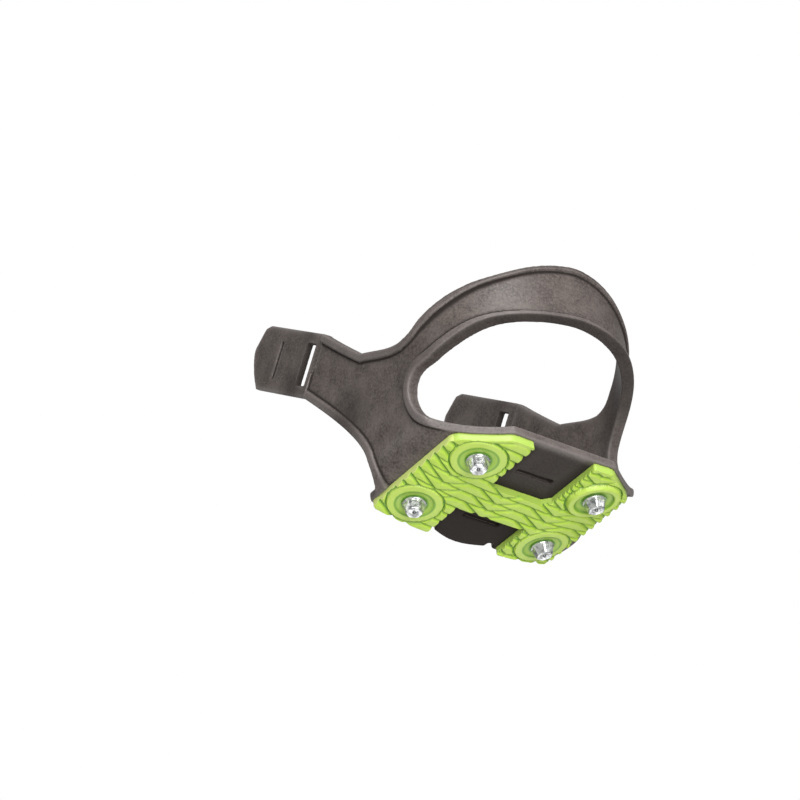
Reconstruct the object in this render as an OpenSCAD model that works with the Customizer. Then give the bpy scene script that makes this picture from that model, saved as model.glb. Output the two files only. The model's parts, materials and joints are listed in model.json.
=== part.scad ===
// Heel ice spur: a stretch rubber harness that carries a studded tread pad under a boot heel.
// X runs to the right, Y towards the toe and Z up. The origin is the middle of the heel seat.

/* [Heel fit] */
// Inside width between the side panels, the width of the boot heel
heel_w = 76; // [68:1:84]
// How far the centre of the round heel lies behind the middle of the seat
heel_back = 2; // [0:0.5:5]
// Thickness of the rubber wall
wall_t = 3; // [2.4:0.1:3.6]
// Inside radius of the fold between floor and side panel
fold_r = 6; // [4:0.5:7]

/* [Edge bead] */
// Width of the raised bead along the free edges
bead_w = 2.8; // [2:0.1:3.4]
// How far the bead stands out of the wall
bead_h = 1.1; // [0.6:0.1:1.5]

/* [Floor] */
// Thickness of the floor under the seat
floor_t = 3; // [2.6:0.1:3.8]
// Width of the flat strip in the middle of the floor
floor_flat = 24; // [16:1:30]
// Radius of the upturned floor on both sides of the flat strip
floor_r = 90; // [75:5:120]
// Distance from the middle of the seat to the floor's front edge
floor_front = 27; // [26.5:0.5:30]
// How far the floor reaches past the tread pad at the rear
rim_w = 0.8; // [0.5:0.1:2]
// How far the curved lip in the toe notch stands out of the front edge
lip_d = 2.4; // [1:0.2:3.4]
// Width of the lip
lip_w = 20; // [16:0.5:21]
// Depth of the relief cut at each end of the lip
lip_cut_d = 2.2; // [1:0.2:3]
// Width of the relief cut
lip_cut_w = 2.5; // [1.5:0.1:3]
// Length of the flex slot in the floor of each notch
flex_slot_l = 14; // [8:0.5:17]
// Width of the flex slot
flex_slot_w = 2; // [1:0.1:2.4]
// Distance from the heel notch's inner end to its flex slot
heel_slot_in = 8.8; // [5:0.2:12]
// Distance from the toe notch's inner end to its flex slot
toe_slot_in = 4.5; // [3.5:0.5:8]

/* [Side panel] */
// Distance from the middle of the seat to the panel's narrowest front point
waist_y = 17.4; // [16:0.2:20]
// Height of that narrowest point
waist_z = 6; // [5:0.5:8]
// Distance from the middle of the seat to the fold of the pull tab
tab_y = 41.2; // [38:0.2:45]
// Height of the fold of the pull tab
tab_z = 59.2; // [55:0.2:62]
// Upward slope of the pull tab in degrees
tab_slope = 38; // [32:1:44]
// Upward slope of the arm that carries the tab, in degrees
arm_slope = 50; // [46:1:54]
// Distance from the middle of the seat to the corner between arm and strap
crotch_y = 15; // [12:0.5:18]
// Height of that corner
crotch_z = 46.8; // [45:0.2:49]

/* [Heel strap] */
// Height of the strap's upper edge where it leaves the side panel
strap_top_side = 38.6; // [37:0.2:41]
// Height of the strap's upper edge at the back of the heel
strap_top_back = 55.8; // [52:0.2:60]
// Height of the strap's lower edge at the back of the heel
strap_low_back = 35.8; // [32:0.5:39]
// How far the front of the heel opening lies behind the middle of the seat
opening_y = 6; // [5:0.5:9]
// Height of the front of the heel opening
opening_z = 19; // [16:0.5:22]

/* [Pull tab] */
// Width of the pull tab
tab_w = 21.8; // [19:0.2:24]
// Length of the pull tab from its fold
tab_l = 39.8; // [34:0.2:44]
// Thickness of the pull tab
tab_t = 2.2; // [1.8:0.1:2.6]
// How much shorter the tab's upper edge is than its nose
tab_top_cut = 6.1; // [4:0.1:8]
// How much shorter the tab's lower edge is than its nose
tab_low_cut = 8; // [5:0.5:9]
// How far the nose lies above the tab's middle line
nose_v = 2.2; // [0:0.2:4]
// Length of the slot beside the fold
slot_l = 14; // [10:0.5:15]
// Width of the slot beside the fold
slot_w = 5; // [4:0.1:6]
// Distance from the fold to the slot
slot_web = 2.4; // [1.6:0.1:3]
// Depth of the pressed line in the middle of the tab
line_d = 0.7; // [0.4:0.1:0.9]
// Distance from the fold to the pressed line
line_u = 23; // [18:0.5:26]
// Clearance between the tab's rounded root and the side panel
hinge_gap = 0.3; // [0.2:0.05:0.5]

/* [Tread pad] */
// Width of the tread pad
pad_w = 69; // [69:0.5:72]
// Distance from the middle of the seat to the pad's front edge
pad_front = 26; // [25:0.1:26.4]
// Distance from the middle of the seat to the pad's rear edge
pad_rear = 26.8; // [26:0.2:29]
// Thickness of the pad between its ridges
pad_t = 1.7; // [1.5:0.1:2]
// Radius of the pad's rounded front corners
pad_corner_r = 2.5; // [1:0.5:4]
// Width of the cut at each rear corner of the pad
pad_cut_x = 15; // [12:0.5:15]
// Length of the cut at each rear corner of the pad
pad_cut_y = 11; // [9:0.5:11.5]
// Width of the notch at the heel end
heel_notch_w = 23.4; // [19:0.2:24]
// Depth of the notch at the heel end
heel_notch_d = 23.8; // [20:0.2:25]
// Cut at the inner corners of the heel notch
notch_cut = 2.4; // [1:0.2:4]
// Width of the notch at the toe end
toe_notch_w = 27; // [26:0.5:28]
// Depth of the notch at the toe end
toe_notch_d = 15.2; // [12:0.2:16]
// Distance between neighbouring wavy ridges
ridge_pitch = 4.1; // [3.6:0.1:5]
// Width of a ridge
ridge_w = 3.3; // [2.6:0.1:3.5]
// Height of a ridge
ridge_h = 0.9; // [0.6:0.1:1.2]
// Length of one wave of the ridges
wave_l = 20.7; // [16:0.1:26]
// How far the waves swing between crest and trough
wave_swing = 4.5; // [2:0.1:6]
// Length over which a wave falls from its crest
wave_fall = 7.3; // [5:0.1:8]
// Length of the flat trough of a wave
wave_flat = 4.2; // [2:0.1:5]
// Place of the middle crest, to the right of the seat's middle
wave_x = -4; // [-10:0.5:10]
// Lean of the ridges' rows in degrees
wave_lean = 2.5; // [0:0.5:5]
// Width of the straight grooves that run through the troughs
line_w = 0.45; // [0.3:0.05:0.6]

/* [Studs] */
// Distance between the two front studs
stud_front_w = 50.5; // [47:0.5:51.5]
// Distance between the two rear studs
stud_rear_w = 45.5; // [42:0.5:48]
// Distance from the middle of the seat to the front studs
stud_front_y = 16.5; // [15.5:0.1:17]
// Distance from the middle of the seat to the rear studs
stud_rear_y = 12.5; // [11:0.5:14]
// Diameter of the raised boss round each stud
boss_d = 17.4; // [16:0.2:17.6]
// Height of the boss above the pad
boss_h = 1.9; // [1.5:0.1:2.1]
// Width of the groove between boss and ridges
boss_gap = 0.7; // [0.7:0.1:1.2]
// Diameter of the dish at the boss's top
dish_d = 13.4; // [12.4:0.2:14.2]
// Diameter of the stud's round collar
collar_d = 7.6; // [7.4:0.2:8.4]
// Thickness of the collar
collar_t = 1; // [0.8:0.1:1.2]
// Diameter of the six-sided crown at its foot, across corners
crown_d = 7.2; // [6.6:0.2:7.4]
// Diameter of the crown at its top, across corners
crown_top_d = 5; // [4.4:0.2:5.6]
// Height of the crown
crown_h = 3.8; // [3.4:0.1:4.2]
// Diameter of the carbide tip
tip_d = 1.6; // [1.4:0.1:2.2]
// How far the tip stands out of the crown
tip_h = 0.2; // [0.2:0.1:0.6]
// Depth of the hole that holds the tip
tip_hole = 2.4; // [1.8:0.1:3]
// Diameter of the stud's shank
shank_d = 4; // [3.4:0.1:4.6]
// Diameter of the washer that holds the shank in the floor
washer_d = 13; // [11:0.5:14]
// Thickness of the washer
washer_t = 1.2; // [0.8:0.1:1.4]
// Height of the seat above the ground on the stud tips
ground_h = 8.6; // [8.3:0.1:9.6]

/* [Hidden] */
$fn = 64;
rubber = "#4b4644";
lime = "#a3da3f";
zinc = "#d9dcdd";
carbide = "#6d7074";
// Clearance round a seated piece, and the wider one round the pad and the studs' collars
fit = 0.05;
wide_fit = 0.1;
// Steps along a curved edge and round an arc of the cross-section
edge_steps = 14;
arc_steps = 8;
// Margin by which a cutting shape runs past what it cuts
past = 1;
// Step between the end of a ridge and the pad's edge
ridge_step = 0.25;
// Flats of the crown, and their distance from its axis as a share of its radius
flats = 6;
flat_share = 0.9;
// Drop of the cut at the tab's upper corner
corner_drop = 1.35;

half_w = heel_w / 2;
flat_x = floor_flat / 2;
outer_r = half_w + wall_t;
back_y = heel_back + outer_r;
floor_rear = pad_rear + rim_w;
reach = back_y + tab_y + tab_l;

// Fold between floor and wall: an arc that touches the upturned floor and the upright wall
fold_x = half_w - fold_r;
fold_z = floor_r - sqrt(pow(floor_r - fold_r, 2) - pow(fold_x - flat_x, 2));
fold_a = atan2(fold_x - flat_x, floor_r - fold_z);

// Pull tab frame in side view: u along the tab, v across it, from the fold's middle
tab_u = [cos(tab_slope), sin(tab_slope)];
tab_v = [-sin(tab_slope), cos(tab_slope)];
root_u = tab_t / 2 + hinge_gap;
tab_mid_x = half_w + wall_t / 2;
root = [tab_y, tab_z] - root_u * tab_u;
root_low = root - tab_w / 2 * tab_v;
root_top = root + tab_w / 2 * tab_v;
arm_dir = [cos(arm_slope), sin(arm_slope)];

function bezier(a, b, c, d, steps) = [for (i = [0:steps]) let (t = i / steps, s = 1 - t)
    s * s * s * a + 3 * s * s * t * b + 3 * s * t * t * c + t * t * t * d];
function unit(v) = v / norm(v);
// Points of an open edge moved sideways, towards the left of its direction
function beside(pts, d) = [for (i = [0:len(pts) - 1])
    let (t = unit(pts[min(i + 1, len(pts) - 1)] - pts[max(i - 1, 0)])) pts[i] + d * [-t[1], t[0]]];
function reversed(pts) = [for (i = [len(pts) - 1:-1:0]) pts[i]];
function mirrored(pts) = [for (p = pts) [-p[0], p[1]]];
function arc(c, r, a0, a1, steps) = [for (i = [0:steps]) let (a = a0 + (a1 - a0) * i / steps)
    c + r * [sin(a), -cos(a)]];

// Right half of the cross-section, as a line that lies off outside the inner surface
function half_section(off, top) = concat(
    [[0, -off]],
    arc([flat_x, floor_r], floor_r + off, 0, fold_a, arc_steps),
    arc([fold_x, fold_z], fold_r + off, fold_a, 90, arc_steps),
    [[half_w + off, top]]);
// Upturned floor alone, carried on past the pad's edge
pad_a = asin((pad_w / 2 + past - flat_x) / floor_r);
function half_floor(off) = concat([[0, -off]], arc([flat_x, floor_r], floor_r + off, 0, pad_a, arc_steps));
function closed_band(inner, outer) = concat(
    reversed(mirrored(outer)), outer, reversed(inner), mirrored(inner));

// Edges in side view as [y, z], with the rubber on their left.
// Each handle is how far a curve keeps the direction of its end.
foot_up = 0.2;
foot = [pad_front, foot_up - bead_h];
foot_run = 4.6;
waist_low_run = 5.4;
waist_run = 9;
arm_run = 18;
arm_top_run = 11;
function front_edge() = let (waist = [waist_y, waist_z]) concat(
    bezier(foot, foot - [foot_run, 0], waist - [0, waist_low_run], waist, edge_steps),
    [for (i = [1:edge_steps]) bezier(waist, waist + [0, waist_run], root_low - arm_run * arm_dir, root_low, edge_steps)[i]]);
// The corner between arm and strap: steep towards the arm, flatter towards the strap
crotch = [crotch_y, crotch_z];
crotch_arm = [2.2, 2.2];
crotch_strap = [-5.5, -2.2];
function arm_top_edge() = bezier(root_top, root_top - arm_top_run * arm_dir, crotch + crotch_arm, crotch, edge_steps);
// The strap's upper edge rises towards the back of the heel, faster than a straight line
strap_rise = 1.9;
function strap_top(y) = strap_top_side + (strap_top_back - strap_top_side) * pow(abs(y) / back_y, strap_rise);
strap_start_y = -4;
strap_start = [strap_start_y, strap_top(strap_start_y)];
strap_lead = [6.5, 1];
function strap_top_edge() = concat(
    bezier(crotch, crotch + crotch_strap, strap_start + strap_lead, strap_start, edge_steps),
    [for (i = [1:edge_steps]) let (y = strap_start_y - (back_y + bead_h + past + strap_start_y) * i / edge_steps)
        [y, strap_top(y)]]);
function top_edge() = concat(arm_top_edge(), [for (i = [1:2 * edge_steps]) strap_top_edge()[i]]);

// Side view of the rubber without its heel opening, drawn in by d from its free edges
module side_shape(d) {
    front = beside(front_edge(), d);
    top = beside(top_edge(), d);
    polygon(concat([[-reach, -ground_h], [reach, -ground_h], [reach, foot[1]]], front, top,
        [[-reach, top[len(top) - 1][1]]]));
}

// Heel opening in side view, grown by d all round
module opening_shape(d) {
    low_c = [-floor_rear, opening_z];
    low_a = floor_rear - opening_y + d;
    low_b = opening_z + d;
    top_c = [-back_y, opening_z];
    top_a = back_y - opening_y + d;
    top_b = strap_low_back - opening_z + d;
    low = [for (i = [0:edge_steps]) let (a = 90 - 90 * i / edge_steps) low_c + [low_a * cos(a), -low_b * sin(a)]];
    top = [for (i = [1:edge_steps]) let (a = 90 * i / edge_steps) top_c + [top_a * cos(a), top_b * sin(a)]];
    polygon(concat(low, top, [[-reach, top_c[1] + top_b], [-reach, low_c[1] - low_b]]));
}

module side_trim(d) {
    rotate([90, 0, 90]) linear_extrude(2 * reach, center = true) difference() {
        side_shape(d);
        opening_shape(d);
    }
}

// Raised edge: what lies within the bead's width of a free edge
module side_band() {
    difference() {
        side_trim(0);
        side_trim(bead_w);
    }
}

// Plan of the floor, with cut rear corners that follow the pad and a curved lip at the toe notch
module floor_plan() {
    cut_n = unit([pad_cut_y, pad_cut_x]);
    cut_p = [pad_w / 2, pad_rear - pad_cut_y] + rim_w * cut_n;
    side_x = outer_r + bead_h + past;
    cut_side_y = cut_p[1] - (side_x - cut_p[0]) * pad_cut_y / pad_cut_x;
    cut_rear_x = cut_p[0] - (floor_rear - cut_p[1]) * pad_cut_x / pad_cut_y;
    lip_x = lip_w / 2;
    cut_out = lip_x + lip_cut_w;
    cut_in = floor_front - lip_cut_d;
    right = [[side_x, floor_front], [cut_out, floor_front], [cut_out, cut_in], [lip_x, cut_in]];
    lip = [for (i = [0:edge_steps]) let (t = i / edge_steps) [lip_x * (1 - 2 * t), floor_front + lip_d * sin(180 * t)]];
    polygon(concat(right, lip, reversed(mirrored(right)),
        [[-side_x, -cut_side_y], [-cut_rear_x, -floor_rear], [cut_rear_x, -floor_rear], [side_x, -cut_side_y]]));
}

// Rubber between two offsets of the cross-section, carried along Y and cut to the floor's plan
module lower_shell(off_in, off_out) {
    intersection() {
        translate([0, reach, 0]) rotate([90, 0, 0]) linear_extrude(2 * reach)
            polygon(closed_band(half_section(off_in, opening_z), half_section(off_out, opening_z)));
        translate([0, 0, -ground_h]) linear_extrude(ground_h + opening_z) floor_plan();
    }
}

// Upright horseshoe wall between two offsets, from the opening's front corner upwards
module upper_shell(off_in, off_out) {
    wall_h = strap_top_back + tab_l;
    translate([0, -heel_back, opening_z]) linear_extrude(wall_h) difference() {
        union() {
            circle(half_w + off_out, $fn = 128);
            translate([-half_w - off_out, 0]) square([2 * (half_w + off_out), reach]);
        }
        circle(half_w + off_in, $fn = 128);
        translate([-half_w - off_in, 0]) square([2 * (half_w + off_in), reach + past]);
    }
}

// Places its children with Z along one stud, pointing to the ground, from the floor's outer surface
module at_stud(x, y) {
    a = stud_angle(x);
    translate([sign(x) * flat_x, y, floor_r]) rotate([0, -sign(x) * a, 0])
        translate([0, 0, -floor_r - floor_t]) rotate([180, 0, 0]) children();
}
function stud_angle(x) = asin((abs(x) - flat_x) / (floor_r + floor_t + pad_t));
// Height of the dish's floor above the floor's outer surface, so that all tips reach the same ground
function dish_floor(x) = (floor_r + ground_h) / cos(stud_angle(x)) - floor_r - floor_t - stud_h;
stud_h = collar_t + crown_h + tip_h;
// The flat washer lies just under the curved outer surface of the floor
washer_sink = pow(washer_d / 2, 2) / (2 * floor_r);
stud_places = [for (sx = [-1, 1]) for (f = [0, 1])
    [sx * (f == 1 ? stud_front_w : stud_rear_w) / 2, f == 1 ? stud_front_y : -stud_rear_y]];

// Plan of the front half of the floor, over the pad's width and d on both sides
module front_plan(d) {
    translate([-pad_w / 2 - d, 0]) square([pad_w + 2 * d, reach]);
}

module harness() {
    color(rubber) difference() {
        union() {
            intersection() {
                lower_shell(0, floor_t);
                union() {
                    side_trim(0);
                    translate([0, 0, -ground_h]) linear_extrude(ground_h + fold_z) front_plan(2 * wide_fit);
                }
            }
            intersection() {
                upper_shell(0, wall_t);
                side_trim(0);
            }
            difference() {
                intersection() {
                    lower_shell(0, floor_t + bead_h);
                    side_band();
                }
                translate([0, 0, -ground_h]) linear_extrude(2 * ground_h) union() {
                    pad_plan(-wide_fit);
                    front_plan(wide_fit);
                }
            }
            intersection() {
                upper_shell(0, wall_t + bead_h);
                side_band();
            }
        }
        for (p = stud_places) at_stud(p[0], p[1]) translate([0, 0, -washer_sink - washer_t])
            cylinder(d = washer_d + 2 * fit, h = washer_sink + washer_t + past);
        flex_slot(pad_front - toe_notch_d + toe_slot_in);
        flex_slot(-pad_rear + heel_notch_d - heel_slot_in);
    }
}

module flex_slot(y) {
    translate([-flex_slot_l / 2, y - flex_slot_w / 2, -floor_t - past]) cube([flex_slot_l, flex_slot_w, floor_t / 2 + past]);
}

// Plan of the pad: round front corners, cut rear corners and a notch at each end, drawn in by d
module pad_plan(d) {
    x = pad_w / 2 - d;
    r = -pad_rear + d;
    corner = arc([pad_w / 2, pad_front] - pad_corner_r * [1, 1], pad_corner_r - d, 90, 180, arc_steps / 2);
    toe_x = toe_notch_w / 2 + d;
    heel_x = heel_notch_w / 2 + d;
    heel_y = -pad_rear + heel_notch_d + d;
    difference() {
        polygon(concat(corner, reversed(mirrored(corner)),
            [[-x, r + pad_cut_y], [-x + pad_cut_x, r], [x - pad_cut_x, r], [x, r + pad_cut_y]]));
        translate([-toe_x, pad_front - toe_notch_d - d]) square([2 * toe_x, toe_notch_d + d + past]);
        polygon([[-heel_x, r - 2 * past], [heel_x, r - 2 * past], [heel_x, heel_y - notch_cut],
            [heel_x - notch_cut, heel_y], [-heel_x + notch_cut, heel_y], [-heel_x, heel_y - notch_cut]]);
    }
}

module pad_layer(off_in, off_out) {
    translate([0, reach, 0]) rotate([90, 0, 0]) linear_extrude(2 * reach)
        polygon(closed_band(half_floor(off_in), half_floor(off_out)));
}

// Wavy ridges from side to side, one row per pitch, parted by a straight groove through each row's troughs
module ridges_plan() {
    rows = ceil((pad_rear + 2 * wave_swing) / ridge_pitch);
    waves = ceil((pad_w / 2 + abs(wave_x)) / wave_l);
    wave = [[0, 0], [wave_fall, -wave_swing], [wave_fall + wave_flat, -wave_swing]];
    low = [for (i = [-waves:waves]) for (p = wave) let (x = wave_x + i * wave_l + p[0]) [x, p[1] + x * tan(wave_lean)]];
    band = concat(low, reversed([for (p = low) p + [0, ridge_w]]));
    line_end = pad_w / 2 + past;
    line = [for (x = [-line_end, line_end]) [x, x * tan(wave_lean) - wave_swing - fit]];
    groove = concat(line, reversed([for (p = line) p - [0, line_w]]));
    difference() {
        for (row = [-rows:rows]) translate([0, row * ridge_pitch]) polygon(band);
        for (row = [-rows:rows]) translate([0, row * ridge_pitch]) polygon(groove);
    }
}

module tread_pad() {
    color(lime) difference() {
        union() {
            intersection() {
                pad_layer(floor_t, floor_t + pad_t);
                translate([0, 0, -ground_h]) linear_extrude(2 * ground_h) pad_plan(0);
            }
            intersection() {
                pad_layer(floor_t + pad_t / 2, floor_t + pad_t + ridge_h);
                translate([0, 0, -ground_h]) linear_extrude(2 * ground_h) difference() {
                    intersection() {
                        ridges_plan();
                        pad_plan(ridge_step);
                    }
                    for (p = stud_places) translate(p) circle(d = boss_d + 2 * boss_gap);
                }
            }
            for (p = stud_places) at_stud(p[0], p[1]) translate([0, 0, pad_t / 2])
                cylinder(d = boss_d, h = pad_t / 2 + boss_h);
        }
        for (p = stud_places) at_stud(p[0], p[1]) {
            translate([0, 0, dish_floor(p[0])])
                cylinder(d1 = collar_d + 2 * wide_fit, d2 = dish_d, h = pad_t + boss_h - dish_floor(p[0]));
            translate([0, 0, pad_t + boss_h]) cylinder(d = dish_d, h = past);
            translate([0, 0, -past]) cylinder(d = shank_d + 2 * fit, h = past + pad_t + boss_h);
        }
    }
}

// Right-hand pull tab: a flat tongue with a rounded root that turns about the fold
module pull_tab() {
    half = tab_w / 2;
    low = [tab_l - tab_low_cut, -half];
    nose = [tab_l, nose_v];
    nose_run = tab_low_cut / 2;
    curve = bezier(low, low + nose_run * unit([1, 1]), nose - [0, nose_run], nose, edge_steps / 2);
    corner = [tab_l - tab_top_cut, half];
    corner_cut = [tab_top_cut / 2, corner_drop];
    translate([tab_mid_x, tab_y, tab_z]) rotate([90, 0, 90]) rotate([0, 0, tab_slope]) difference() {
        union() {
            translate([0, 0, -tab_t / 2]) linear_extrude(tab_t)
                polygon(concat([[0, half], [0, -half]], curve, [corner + [corner_cut[0], -corner_cut[1]], corner]));
            translate([0, half, 0]) rotate([90, 0, 0]) cylinder(d = tab_t, h = tab_w);
        }
        translate([slot_web, -slot_l / 2, -tab_t]) cube([slot_w, slot_l, 2 * tab_t]);
        translate([line_u, -slot_l / 2 + past, tab_t / 2 - line_d]) cube([past, slot_l - 2 * past, tab_t]);
    }
}

module pull_tab_left() {
    color(rubber) mirror([1, 0, 0]) pull_tab();
}

module pull_tab_right() {
    color(rubber) pull_tab();
}

// Steel stud: round collar, six-sided tapered crown and a shank that reaches through the washer
module stud(x, y) {
    shank_h = dish_floor(x) + washer_sink + washer_t;
    flat_tilt = atan2(flat_share * (crown_d - crown_top_d) / 2, crown_h);
    color(zinc) at_stud(x, y) translate([0, 0, dish_floor(x)]) difference() {
        union() {
            cylinder(d = collar_d, h = collar_t);
            translate([0, 0, -shank_h]) cylinder(d = shank_d, h = shank_h + collar_t / 2);
            translate([0, 0, collar_t]) difference() {
                cylinder(d1 = crown_d, d2 = crown_top_d, h = crown_h);
                for (i = [1:flats]) rotate([0, 0, 360 / flats * i]) translate([flat_share * crown_d / 2, -crown_d / 2, 0])
                    rotate([0, -flat_tilt, 0]) translate([0, 0, -past]) cube([crown_d, crown_d, 2 * crown_h]);
            }
        }
        translate([0, 0, collar_t + crown_h - tip_hole]) cylinder(d = tip_d, h = tip_hole + past);
    }
}

module stud_tip(x, y) {
    bevel = tip_h / 2;
    color(carbide) at_stud(x, y) translate([0, 0, dish_floor(x) + stud_h]) rotate([180, 0, 0]) union() {
        cylinder(d1 = tip_d - bevel, d2 = tip_d, h = bevel);
        translate([0, 0, bevel]) cylinder(d = tip_d, h = tip_hole + tip_h - bevel);
    }
}

module stud_washer(x, y) {
    color(zinc) at_stud(x, y) translate([0, 0, -washer_sink - washer_t]) difference() {
        cylinder(d = washer_d, h = washer_t);
        translate([0, 0, -past]) cylinder(d = shank_d, h = washer_t + 2 * past);
    }
}

front_x = stud_front_w / 2;
rear_x = stud_rear_w / 2;
harness();
tread_pad();
pull_tab_left();
pull_tab_right();
stud(-front_x, stud_front_y);  // stud_front_left
stud(front_x, stud_front_y);  // stud_front_right
stud(-rear_x, -stud_rear_y);  // stud_rear_left
stud(rear_x, -stud_rear_y);  // stud_rear_right
stud_tip(-front_x, stud_front_y);  // stud_tip_front_left
stud_tip(front_x, stud_front_y);  // stud_tip_front_right
stud_tip(-rear_x, -stud_rear_y);  // stud_tip_rear_left
stud_tip(rear_x, -stud_rear_y);  // stud_tip_rear_right
stud_washer(-front_x, stud_front_y);  // stud_washer_front_left
stud_washer(front_x, stud_front_y);  // stud_washer_front_right
stud_washer(-rear_x, -stud_rear_y);  // stud_washer_rear_left
stud_washer(rear_x, -stud_rear_y);  // stud_washer_rear_right
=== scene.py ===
import json
import math

import bmesh
import bpy
import numpy as np
from mathutils import Matrix, Vector
from mathutils.geometry import tessellate_polygon


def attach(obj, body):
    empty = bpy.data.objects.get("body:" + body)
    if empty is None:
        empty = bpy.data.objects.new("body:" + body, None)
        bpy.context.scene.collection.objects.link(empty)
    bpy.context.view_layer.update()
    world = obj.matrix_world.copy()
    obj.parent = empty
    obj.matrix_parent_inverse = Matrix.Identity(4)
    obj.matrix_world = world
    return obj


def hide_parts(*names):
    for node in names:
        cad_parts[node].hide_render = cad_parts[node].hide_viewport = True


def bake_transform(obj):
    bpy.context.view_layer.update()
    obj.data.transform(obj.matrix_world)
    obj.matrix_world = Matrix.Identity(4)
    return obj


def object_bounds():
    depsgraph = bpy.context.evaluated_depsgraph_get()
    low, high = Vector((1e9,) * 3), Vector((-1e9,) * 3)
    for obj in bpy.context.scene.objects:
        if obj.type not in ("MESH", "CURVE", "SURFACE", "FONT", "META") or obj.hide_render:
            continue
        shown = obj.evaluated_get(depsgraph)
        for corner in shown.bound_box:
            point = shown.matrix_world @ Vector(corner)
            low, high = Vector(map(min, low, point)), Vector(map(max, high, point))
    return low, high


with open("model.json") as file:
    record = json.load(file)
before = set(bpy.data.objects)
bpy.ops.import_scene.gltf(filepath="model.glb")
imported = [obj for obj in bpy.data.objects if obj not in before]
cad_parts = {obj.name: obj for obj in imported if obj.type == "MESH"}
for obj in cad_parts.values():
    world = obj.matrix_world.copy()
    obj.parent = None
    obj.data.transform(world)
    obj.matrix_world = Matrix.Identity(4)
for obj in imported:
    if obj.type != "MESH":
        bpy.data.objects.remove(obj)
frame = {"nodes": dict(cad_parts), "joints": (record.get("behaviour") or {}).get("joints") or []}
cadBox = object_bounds()
mm = 0.001
nodes = frame["nodes"]
joints = {joint["name"]: joint for joint in frame["joints"]}
print("frame loaded:", len(nodes), "nodes")


# small tools

def linear(code):
    # sRGB hex to the linear colour that the shader takes
    parts = [int(code[i:i + 2], 16) / 255 for i in (1, 3, 5)]
    return [p / 12.92 if p <= 0.04045 else ((p + 0.055) / 1.055) ** 2.4 for p in parts] + [1.0]


def perMetre(size):
    # scale of a pattern whose grain is that many millimetres across
    return 1.0 / (size * mm)


def addNode(tree, kind, inputs=None, **settings):
    node = tree.nodes.new(kind)
    for key, value in settings.items():
        setattr(node, key, value)
    for key, value in (inputs or {}).items():
        if isinstance(value, bpy.types.NodeSocket):
            tree.links.new(value, node.inputs[key])
        else:
            node.inputs[key].default_value = value
    return node


def newMaterial(name):
    material = bpy.data.materials.new(name)
    material.use_nodes = True
    tree = material.node_tree
    tree.nodes.clear()
    return material, tree


def newObject(name, points, faces, material):
    mesh = bpy.data.meshes.new(name)
    mesh.from_pydata([tuple(p) for p in points], [], [tuple(f) for f in faces])
    mesh.update()
    piece = bpy.data.objects.new(name, mesh)
    bpy.context.scene.collection.objects.link(piece)
    piece.data.materials.append(material)
    for polygon in mesh.polygons:
        polygon.use_smooth = True
    return piece


def skinOf(meshes, voxel):
    # one closed skin round some meshes, with square cells of the voxel's size
    work = bmesh.new()
    for mesh in meshes:
        work.from_mesh(mesh)
    joined = bpy.data.meshes.new("joined")
    work.to_mesh(joined)
    work.free()
    holder = bpy.data.objects.new("holder", joined)
    bpy.context.scene.collection.objects.link(holder)
    remesh = holder.modifiers.new("skin", "REMESH")
    remesh.mode = "VOXEL"
    remesh.voxel_size = voxel
    ready = holder.evaluated_get(bpy.context.evaluated_depsgraph_get())
    skin = bpy.data.meshes.new_from_object(ready)
    bpy.data.objects.remove(holder)
    bpy.data.meshes.remove(joined)
    return skin


def pointsOf(mesh):
    flat = np.zeros(len(mesh.vertices) * 3)
    mesh.vertices.foreach_get("co", flat)
    return flat.reshape(-1, 3)


def edgesOf(mesh):
    flat = np.zeros(len(mesh.edges) * 2, np.int32)
    mesh.edges.foreach_get("vertices", flat)
    return flat.reshape(-1, 2)


def neighbourMean(values, edges):
    a, b = edges[:, 0], edges[:, 1]
    count = len(values)
    degree = np.maximum(np.bincount(edges.ravel(), minlength=count), 1)
    columns = values.reshape(count, -1)
    total = np.empty_like(columns)
    for k in range(columns.shape[1]):
        total[:, k] = np.bincount(a, columns[b, k], count) + np.bincount(b, columns[a, k], count)
    return (total / degree[:, None]).reshape(values.shape)


def relaxed(points, edges, rounds, pull=0.5, push=-0.52):
    # rounds the edges without shrinking the form: one step in, one step out
    for step in range(rounds):
        points = points + pull * (neighbourMean(points, edges) - points)
        points = points + push * (neighbourMean(points, edges) - points)
    return points


def eased(t):
    t = np.clip(t, 0, 1)
    return t * t * (3 - 2 * t)


def storeShade(mesh, name, values):
    # a grey value for each point, which the material reads
    layer = mesh.attributes.new(name, "FLOAT", "POINT")
    layer.data.foreach_set("value", values.astype(np.float32))


def bendOf(mesh, rounds):
    # how far each point stands out of its surroundings: edges above 0, corners below
    edges = edgesOf(mesh)
    points = pointsOf(mesh)
    normals = np.zeros(len(points) * 3)
    mesh.vertices.foreach_get("normal", normals)
    far = points
    for step in range(rounds):
        far = neighbourMean(far, edges)
    return np.einsum("ij,ij->i", points - far, normals.reshape(-1, 3))


def softened(points, edges, weight, rounds):
    # plain smoothing that acts by weight, on the weighted part alone: wears sharp edges round
    used, part = np.unique(edges[weight[edges].max(1) > 0], return_inverse=True)
    part = part.reshape(-1, 2)
    local, pull = points[used], 0.5 * weight[used, None]
    for step in range(rounds):
        local = local + pull * (neighbourMean(local, part) - local)
    points = points.copy()
    points[used] = local
    return points


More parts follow.
